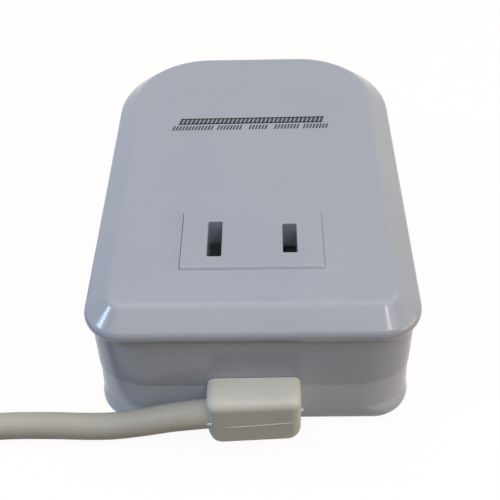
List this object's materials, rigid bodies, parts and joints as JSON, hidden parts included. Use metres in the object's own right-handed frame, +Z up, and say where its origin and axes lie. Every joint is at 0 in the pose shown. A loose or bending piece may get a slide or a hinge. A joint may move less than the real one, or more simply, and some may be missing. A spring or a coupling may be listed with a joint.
{
  "type": "travel voltage converter",
  "caption": "Small white step-down transformer box with a round end, a polarised flat-blade outlet in its top face, a side voltage selector and a coiled mains cord with a plug.",
  "frame": {"origin": "on the table under the middle of the case, cord and plug left out", "axes": "+Z up, +Y from the cord end towards the round end, +X to the right seen from the cord end"},
  "size_m": [0.1657, 0.0943, 0.0272],
  "materials": {
    "case_plastic": "semi-gloss moulded white ABS with a cool cast",
    "zinc_steel": "zinc-plated steel",
    "dark_plastic": "matt dark moulded nylon",
    "brass_strip": "bright stamped brass",
    "core_steel": "stacked silicon steel sheets, dull grey",
    "copper_wire": "enamelled copper wire, glossy brown",
    "yellow_tape": "yellow polyester tape",
    "fuse_case": "tan ceramic-filled case with tinned leads",
    "fibre_board": "grey pressed fibre board",
    "phenolic": "brown phenolic sheet",
    "knob_plastic": "matt red moulded plastic",
    "black_wire": "black vinyl insulation",
    "white_wire": "white vinyl insulation",
    "red_wire": "red vinyl insulation",
    "blue_wire": "blue vinyl insulation",
    "amber_wire": "amber vinyl insulation",
    "cord_vinyl": "soft warm-white vinyl",
    "tie_vinyl": "black vinyl strip"
  },
  "bodies": {
    "case": {"top_cover": "case_plastic", "base_shell": "case_plastic", "outlet_face": "case_plastic", "case_screws": "zinc_steel", "core_screws": "zinc_steel", "selector_screws": "zinc_steel", "selector_frame": "zinc_steel", "bobbin_pins": "zinc_steel", "outlet_back": "dark_plastic", "bobbin": "dark_plastic", "neutral_contact": "brass_strip", "live_contact": "brass_strip", "selector_terminals": "brass_strip", "plug_blades": "brass_strip", "core_e_stack": "core_steel", "core_i_stack": "core_steel", "main_winding": "copper_wire", "tap_winding": "copper_wire", "winding_tape": "yellow_tape", "thermal_fuse": "fuse_case", "insulating_board": "fibre_board", "selector_base": "phenolic", "live_in_wire": "black_wire", "fuse_wire": "black_wire", "neutral_in_wire": "white_wire", "common_wire": "white_wire", "output_wire": "red_wire", "low_tap_wire": "blue_wire", "high_tap_wire": "amber_wire", "strain_relief": "cord_vinyl", "cord_lead": "cord_vinyl", "cord_coil": "cord_vinyl", "cord_tail": "cord_vinyl", "plug_body": "cord_vinyl", "cord_tie": "tie_vinyl"},
    "selector": {"selector_knob": "knob_plastic", "selector_bridge": "brass_strip"}
  },
  "joints": [
    {"name": "selector_slide", "type": "slide", "parent": "case", "child": "selector", "axis": [0, 1, 0], "range_m": [0, 0.004]}
  ]
}
